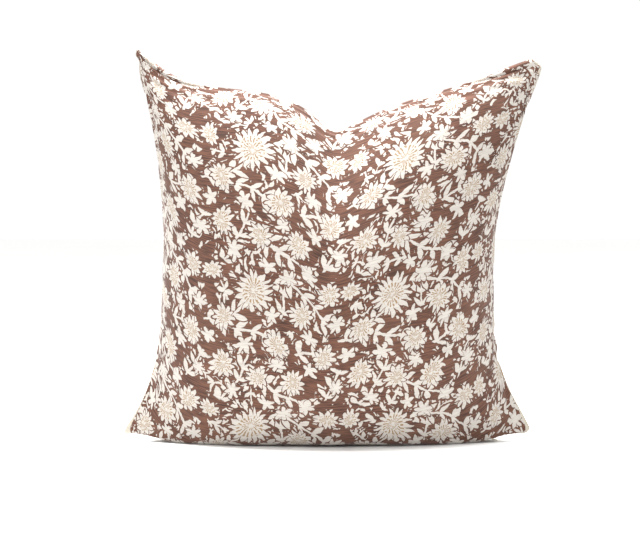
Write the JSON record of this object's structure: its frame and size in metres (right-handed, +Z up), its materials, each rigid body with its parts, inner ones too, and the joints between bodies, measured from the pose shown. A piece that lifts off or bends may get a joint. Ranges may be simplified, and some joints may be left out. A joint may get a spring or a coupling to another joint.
{
  "type": "throw pillow",
  "caption": "Square throw pillow standing on its edge: floral printed front, plain back, zipped cover over a feather insert, top edge chopped into a dent.",
  "frame": {"origin": "on the ground, under the middle of the bounding box", "axes": "+Z up; +X to the right as seen from the printed front; the printed front faces -Y and the plain back +Y"},
  "size_m": [0.5126, 0.1832, 0.483],
  "materials": {
    "printed_cotton": "slub cotton, cinnamon-brown ground with an all-over off-white floral block print, matt",
    "plain_linen": "plain natural off-white cloth, matt",
    "ticking": "downproof cotton, white, slightly smooth",
    "feather": "feather and down filling, white",
    "zip_tape": "woven polyester tape, natural",
    "nylon_coil": "nylon coil, natural, half matt",
    "enamelled_zinc": "enamelled zinc, natural, satin",
    "polyester_thread": "spun polyester thread, natural",
    "satin_tape": "satin label tape, blank, white"
  },
  "bodies": {
    "cover": {"cover_front_panel": "printed_cotton", "cover_back_panel": "plain_linen", "cover_seam_stitching": "polyester_thread", "care_label": "satin_tape", "insert_front_shell": "ticking", "insert_back_shell": "ticking", "insert_fill": "feather", "insert_label": "satin_tape", "insert_seam_stitching": "polyester_thread", "zipper_tape_front": "zip_tape", "zipper_tape_back": "zip_tape", "zipper_coil_front": "nylon_coil", "zipper_coil_back": "nylon_coil", "zipper_top_stop_front": "enamelled_zinc", "zipper_top_stop_back": "enamelled_zinc", "zipper_bottom_stop": "enamelled_zinc", "zipper_stitching_front": "polyester_thread", "zipper_stitching_back": "polyester_thread"},
    "slider": {"zipper_slider": "enamelled_zinc"},
    "pull": {"zipper_pull_tab": "enamelled_zinc"}
  },
  "joints": [
    {"name": "slider_travel", "type": "slide", "parent": "cover", "child": "slider", "axis": [1, 0, 0], "range_m": [-0.382, 0]},
    {"name": "pull_swing", "type": "hinge", "parent": "slider", "child": "pull", "pos_m": [0.18666, 0, 0.0052], "axis": [0, 1, 0], "range_deg": [-5, 150]}
  ]
}
